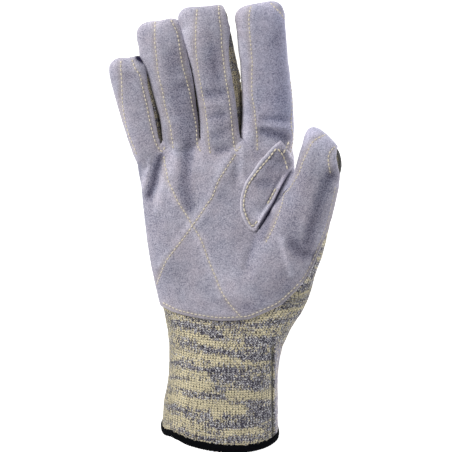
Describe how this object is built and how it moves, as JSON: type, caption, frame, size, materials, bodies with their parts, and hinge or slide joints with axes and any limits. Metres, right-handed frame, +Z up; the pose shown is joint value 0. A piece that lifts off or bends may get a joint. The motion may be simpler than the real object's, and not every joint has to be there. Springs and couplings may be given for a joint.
{
  "type": "knit work glove with split leather palm",
  "caption": "Right-hand work glove: a seamless knit hand and long cuff with a sewn split leather palm, fingers and thumb, a leaf-shaped thumb crotch patch and an overlocked hem.",
  "frame": {"origin": "on the surface that the glove lies on, under the middle of the whole glove", "axes": "+Y towards the fingertips, +X towards the thumb, +Z up out of the palm, the back of the hand down"},
  "size_m": [0.1326, 0.26, 0.0462],
  "materials": {
    "knit": "seamless jersey knit in mixed pale yellow and navy-grey yarn",
    "leather": "blue-grey split suede, napped and matte",
    "leather_patch": "blue-grey split suede, napped and matte",
    "hem_yarn": "black overlocked yarn"
  },
  "bodies": {
    "root": {"knit_glove": "knit", "leather_palm": "leather", "thumb_crotch_patch": "leather_patch", "hem_band": "hem_yarn"}
  },
  "joints": []
}
